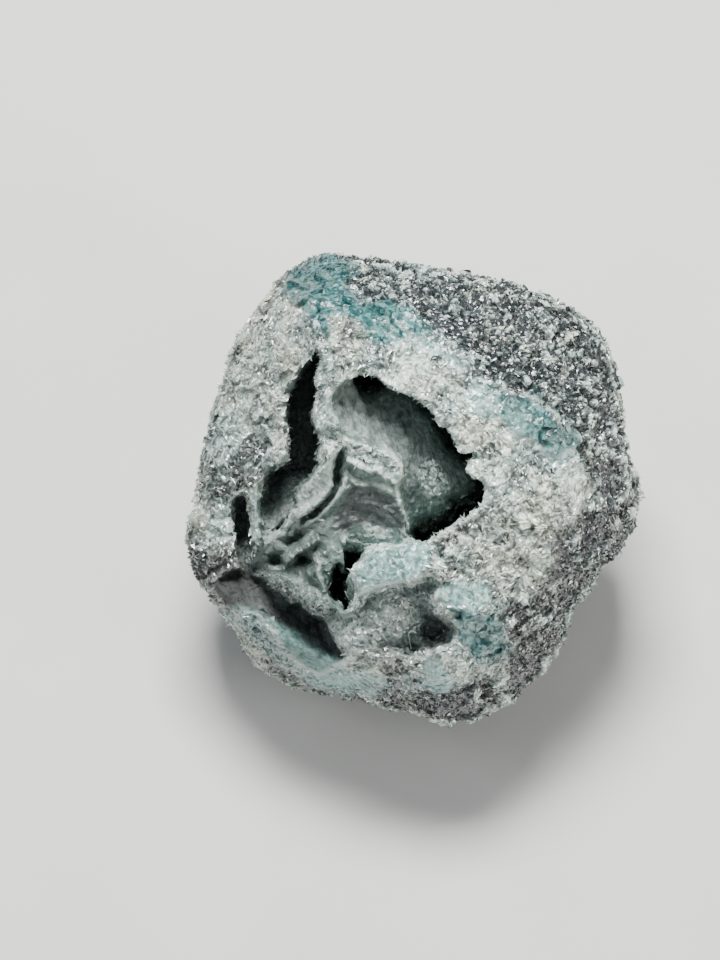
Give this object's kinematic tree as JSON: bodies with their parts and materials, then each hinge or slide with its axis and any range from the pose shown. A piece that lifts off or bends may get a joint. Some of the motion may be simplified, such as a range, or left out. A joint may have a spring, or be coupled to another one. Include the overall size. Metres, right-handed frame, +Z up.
{
  "type": "rough diamond",
  "caption": "Rough diamond: a rounded, cube-like grey crystal whose broken face opens on hollows around a folded core, with a flat foot to rest on.",
  "frame": {"origin": "middle of the stone's bounding box, on the plane that its flat foot rests on", "axes": "+Z up; the broken face looks towards -Y and up, and +X is to the right of someone looking at it"},
  "size_m": [0.008, 0.0082, 0.007],
  "materials": {
    "diamond": "rough and glittering, grey with blue-green patches"
  },
  "bodies": {
    "root": {"rough_diamond": "diamond"}
  },
  "joints": []
}
